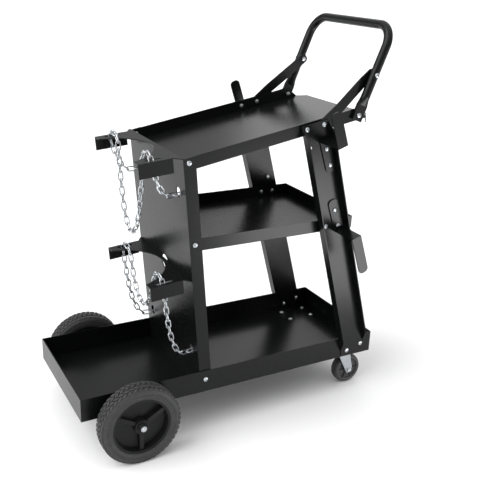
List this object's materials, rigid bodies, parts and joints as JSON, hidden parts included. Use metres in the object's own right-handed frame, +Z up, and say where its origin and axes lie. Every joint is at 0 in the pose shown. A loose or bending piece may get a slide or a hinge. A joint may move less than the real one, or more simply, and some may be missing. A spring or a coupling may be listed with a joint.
{
  "type": "oxy acetylene torch cart",
  "caption": "Three-tier folded steel welding trolley with a bottle platform, slotted bottle brackets with chains, cable hooks, push handle, rear wheels and swivel casters.",
  "frame": {"origin": "on the ground, below the middle of the cart's outline", "axes": "+X toward the handle and casters, +Y to the left, +Z up"},
  "size_m": [0.744, 0.44, 0.8945],
  "materials": {
    "black_powder_coat": "gloss",
    "zinc_hardware": "satin",
    "zinc_sheet": "satin",
    "tyre_rubber": "matte",
    "hub_plastic": "satin",
    "axle_steel": "satin"
  },
  "bodies": {
    "cart": {"axle_cap_left": "zinc_hardware", "axle_cap_right": "zinc_hardware", "axle_collar_left": "axle_steel", "axle_collar_right": "axle_steel", "axle_saddles": "black_powder_coat", "bottom_tray": "black_powder_coat", "caster_mount_left": "zinc_sheet", "caster_mount_right": "zinc_sheet", "caster_screws": "zinc_hardware", "chain_pins": "zinc_hardware", "front_leg_left": "black_powder_coat", "front_leg_right": "black_powder_coat", "handle_brace_left": "black_powder_coat", "handle_brace_right": "black_powder_coat", "handle_screws_left": "zinc_hardware", "handle_screws_right": "zinc_hardware", "handle_tube": "black_powder_coat", "hook_screws_left": "zinc_hardware", "hook_screws_right": "zinc_hardware", "leg_screws_left": "zinc_hardware", "leg_screws_right": "zinc_hardware", "leg_spacers_left": "zinc_hardware", "leg_spacers_right": "zinc_hardware", "lower_bottle_bracket": "black_powder_coat", "lower_cable_hook_left": "black_powder_coat", "lower_cable_hook_right": "black_powder_coat", "lower_chain": "zinc_hardware", "middle_tray": "black_powder_coat", "panel_screws_left": "zinc_hardware", "panel_screws_right": "zinc_hardware", "rear_axle": "axle_steel", "rear_panel": "black_powder_coat", "top_tray": "black_powder_coat", "upper_bottle_bracket": "black_powder_coat", "upper_cable_hook_left": "black_powder_coat", "upper_cable_hook_right": "black_powder_coat", "upper_chain": "zinc_hardware"},
    "rear_wheel_left": {"rear_tyre_left": "tyre_rubber", "rear_hub_left": "hub_plastic"},
    "caster_left": {"caster_fork_left": "zinc_sheet", "caster_axle_left": "zinc_sheet"},
    "caster_roller_left": {"caster_wheel_left": "tyre_rubber"},
    "rear_wheel_right": {"rear_tyre_right": "tyre_rubber", "rear_hub_right": "hub_plastic"},
    "caster_right": {"caster_fork_right": "zinc_sheet", "caster_axle_right": "zinc_sheet"},
    "caster_roller_right": {"caster_wheel_right": "tyre_rubber"}
  },
  "joints": [
    {"name": "rear_wheel_left_spin", "type": "hinge", "parent": "cart", "child": "rear_wheel_left", "pos_m": [-0.2584, 0.182, 0.089], "axis": [0, 1, 0], "continuous": true},
    {"name": "caster_left_swivel", "type": "hinge", "parent": "cart", "child": "caster_left", "pos_m": [0.3125, 0.103, 0.086], "axis": [0, 0, 1], "continuous": true},
    {"name": "caster_left_roll", "type": "hinge", "parent": "caster_left", "child": "caster_roller_left", "pos_m": [0.334, 0.103, 0.038], "axis": [0, 1, 0], "continuous": true},
    {"name": "rear_wheel_right_spin", "type": "hinge", "parent": "cart", "child": "rear_wheel_right", "pos_m": [-0.2584, -0.182, 0.089], "axis": [0, 1, 0], "continuous": true},
    {"name": "caster_right_swivel", "type": "hinge", "parent": "cart", "child": "caster_right", "pos_m": [0.3125, -0.103, 0.086], "axis": [0, 0, 1], "continuous": true},
    {"name": "caster_right_roll", "type": "hinge", "parent": "caster_right", "child": "caster_roller_right", "pos_m": [0.334, -0.103, 0.038], "axis": [0, 1, 0], "continuous": true}
  ]
}
